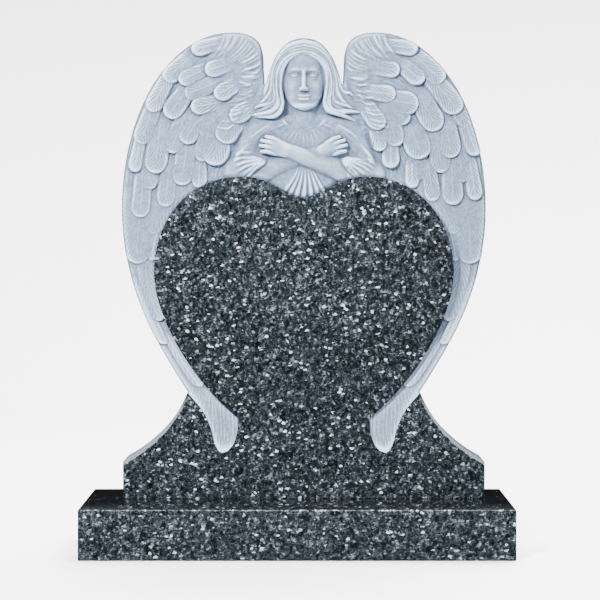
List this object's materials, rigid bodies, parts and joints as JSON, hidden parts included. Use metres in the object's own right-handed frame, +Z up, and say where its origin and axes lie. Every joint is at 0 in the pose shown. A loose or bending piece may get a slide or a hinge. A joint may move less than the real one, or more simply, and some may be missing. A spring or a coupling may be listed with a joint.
{
  "type": "granite angel headstone",
  "caption": "Polished dark granite headstone: a heart and block carved round with an angel, arms crossed on the chest, and feathered wings, standing on a low plinth.",
  "frame": {"origin": "the middle of the plinth's underside", "axes": "+X to the right of somebody facing the carving, -Y the way the carving faces, +Z up"},
  "size_m": [1.2, 0.35, 1.4723],
  "materials": {
    "upright_granite": "blue-grey flaked granite: heart, block, sides and back polished dark, angel and wings carved light and matt",
    "base_granite": "dark blue-grey flaked granite, polished all over"
  },
  "bodies": {
    "root": {"headstone": "upright_granite", "base": "base_granite"}
  },
  "joints": []
}
